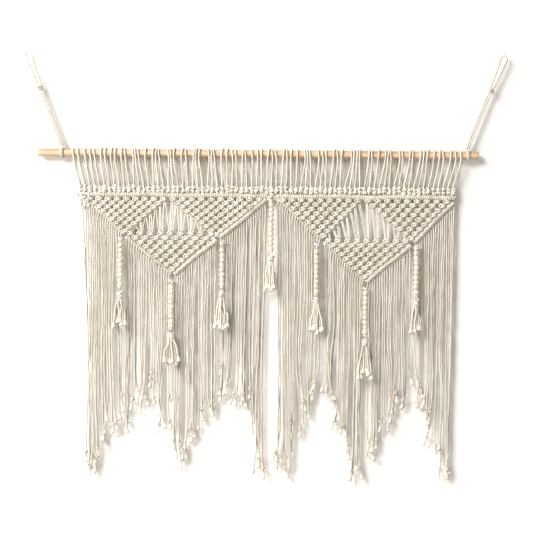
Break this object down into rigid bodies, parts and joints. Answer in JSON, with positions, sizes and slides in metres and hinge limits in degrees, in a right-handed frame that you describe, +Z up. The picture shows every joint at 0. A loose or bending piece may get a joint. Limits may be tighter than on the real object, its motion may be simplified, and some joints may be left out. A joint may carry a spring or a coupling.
{
  "type": "macrame wall hanging",
  "caption": "Wide knotted cotton macrame wall hanging on a wooden dowel, with V-shaped knotted panels, a long fringe and hanging bead strings with tassels.",
  "frame": {"origin": "midway between the two wall hooks, on the line where the cord loops bear on them", "axes": "+X along the dowel to the viewer's right, +Y back towards the wall, +Z up"},
  "size_m": [1.2069, 0.0341, 1.0607],
  "materials": {
    "cotton_cord": "natural cream cotton, soft twisted three-ply cord, matte",
    "dowel_wood": "plain light tan softwood dowel, sanded, matte",
    "bead_wood": "pale cream wood beads, smooth, slightly satin"
  },
  "bodies": {
    "hanging_rail": {"dowel": "dowel_wood", "hanger_cord_left": "cotton_cord", "hanger_cord_right": "cotton_cord", "hanger_wrap_left": "cotton_cord", "hanger_wrap_right": "cotton_cord"},
    "macrame_panel": {"heading_cords_1": "cotton_cord", "heading_cords_2": "cotton_cord", "heading_cords_3": "cotton_cord", "heading_cords_4": "cotton_cord", "knot_row_left": "cotton_cord", "header_ridge_left": "cotton_cord", "knot_row_right": "cotton_cord", "header_ridge_right": "cotton_cord", "centre_knot": "cotton_cord", "lattice_left_outer": "cotton_cord", "lattice_left_inner": "cotton_cord", "lattice_left_lower": "cotton_cord", "fan_left": "cotton_cord", "ridge_left_outer": "cotton_cord", "ridge_left_low_outer": "cotton_cord", "ridge_left_low_inner": "cotton_cord", "ridge_left_inner": "cotton_cord", "lattice_right_outer": "cotton_cord", "lattice_right_inner": "cotton_cord", "lattice_right_lower": "cotton_cord", "fan_right": "cotton_cord", "ridge_right_outer": "cotton_cord", "ridge_right_low_outer": "cotton_cord", "ridge_right_low_inner": "cotton_cord", "ridge_right_inner": "cotton_cord", "fringe_left_1": "cotton_cord", "fringe_left_2": "cotton_cord", "fringe_left_3": "cotton_cord", "fringe_left_4": "cotton_cord", "fringe_right_1": "cotton_cord", "fringe_right_2": "cotton_cord", "fringe_right_3": "cotton_cord", "fringe_right_4": "cotton_cord"},
    "bead_string_1": {"string_cord_1": "cotton_cord", "beads_1": "bead_wood"},
    "tassel_end_1": {"tassel_1": "cotton_cord"},
    "bead_string_2": {"string_cord_2": "cotton_cord", "beads_2": "bead_wood"},
    "tassel_end_2": {"tassel_2": "cotton_cord"},
    "bead_string_3": {"string_cord_3": "cotton_cord", "beads_3": "bead_wood"},
    "tassel_end_3": {"tassel_3": "cotton_cord"},
    "bead_string_4": {"string_cord_4": "cotton_cord", "beads_4": "bead_wood"},
    "tassel_end_4": {"tassel_4": "cotton_cord"},
    "bead_string_5": {"string_cord_5": "cotton_cord", "beads_5": "bead_wood"},
    "tassel_end_5": {"tassel_5": "cotton_cord"},
    "bead_string_6": {"string_cord_6": "cotton_cord", "beads_6": "bead_wood"},
    "tassel_end_6": {"tassel_6": "cotton_cord"},
    "bead_string_7": {"string_cord_7": "cotton_cord", "beads_7": "bead_wood"},
    "tassel_end_7": {"tassel_7": "cotton_cord"}
  },
  "joints": [
    {"name": "panel_lift", "type": "hinge", "parent": "hanging_rail", "child": "macrame_panel", "pos_m": [0, 0, -0.248], "axis": [-1, 0, 0], "range_deg": [0, 60]},
    {"name": "string_1_sway", "type": "hinge", "parent": "macrame_panel", "child": "bead_string_1", "pos_m": [-0.3631, -0.012, -0.4568], "axis": [0, 1, 0], "range_deg": [-12, 12]},
    {"name": "tassel_1_lift", "type": "hinge", "parent": "bead_string_1", "child": "tassel_end_1", "pos_m": [-0.3631, -0.012, -0.5954], "axis": [-1, 0, 0], "range_deg": [0, 60]},
    {"name": "string_2_sway", "type": "hinge", "parent": "macrame_panel", "child": "bead_string_2", "pos_m": [-0.235, -0.012, -0.5618], "axis": [0, 1, 0], "range_deg": [-12, 12]},
    {"name": "tassel_2_lift", "type": "hinge", "parent": "bead_string_2", "child": "tassel_end_2", "pos_m": [-0.235, -0.012, -0.6974], "axis": [-1, 0, 0], "range_deg": [0, 60]},
    {"name": "string_3_sway", "type": "hinge", "parent": "macrame_panel", "child": "bead_string_3", "pos_m": [-0.1089, -0.012, -0.4638], "axis": [0, 1, 0], "range_deg": [-12, 12]},
    {"name": "tassel_3_lift", "type": "hinge", "parent": "bead_string_3", "child": "tassel_end_3", "pos_m": [-0.1089, -0.012, -0.5932], "axis": [-1, 0, 0], "range_deg": [0, 60]},
    {"name": "string_4_sway", "type": "hinge", "parent": "macrame_panel", "child": "bead_string_4", "pos_m": [0.012, -0.012, -0.3608], "axis": [0, 1, 0], "range_deg": [-12, 12]},
    {"name": "tassel_4_lift", "type": "hinge", "parent": "bead_string_4", "child": "tassel_end_4", "pos_m": [0.012, -0.012, -0.5036], "axis": [-1, 0, 0], "range_deg": [0, 60]},
    {"name": "string_5_sway", "type": "hinge", "parent": "macrame_panel", "child": "bead_string_5", "pos_m": [0.1261, -0.012, -0.4678], "axis": [0, 1, 0], "range_deg": [-12, 12]},
    {"name": "tassel_5_lift", "type": "hinge", "parent": "bead_string_5", "child": "tassel_end_5", "pos_m": [0.1261, -0.012, -0.6084], "axis": [-1, 0, 0], "range_deg": [0, 60]},
    {"name": "string_6_sway", "type": "hinge", "parent": "macrame_panel", "child": "bead_string_6", "pos_m": [0.2479, -0.012, -0.5778], "axis": [0, 1, 0], "range_deg": [-12, 12]},
    {"name": "tassel_6_lift", "type": "hinge", "parent": "bead_string_6", "child": "tassel_end_6", "pos_m": [0.2479, -0.012, -0.7094], "axis": [-1, 0, 0], "range_deg": [0, 60]},
    {"name": "string_7_sway", "type": "hinge", "parent": "macrame_panel", "child": "bead_string_7", "pos_m": [0.3744, -0.012, -0.4728], "axis": [0, 1, 0], "range_deg": [-12, 12]},
    {"name": "tassel_7_lift", "type": "hinge", "parent": "bead_string_7", "child": "tassel_end_7", "pos_m": [0.3744, -0.012, -0.6094], "axis": [-1, 0, 0], "range_deg": [0, 60]}
  ]
}
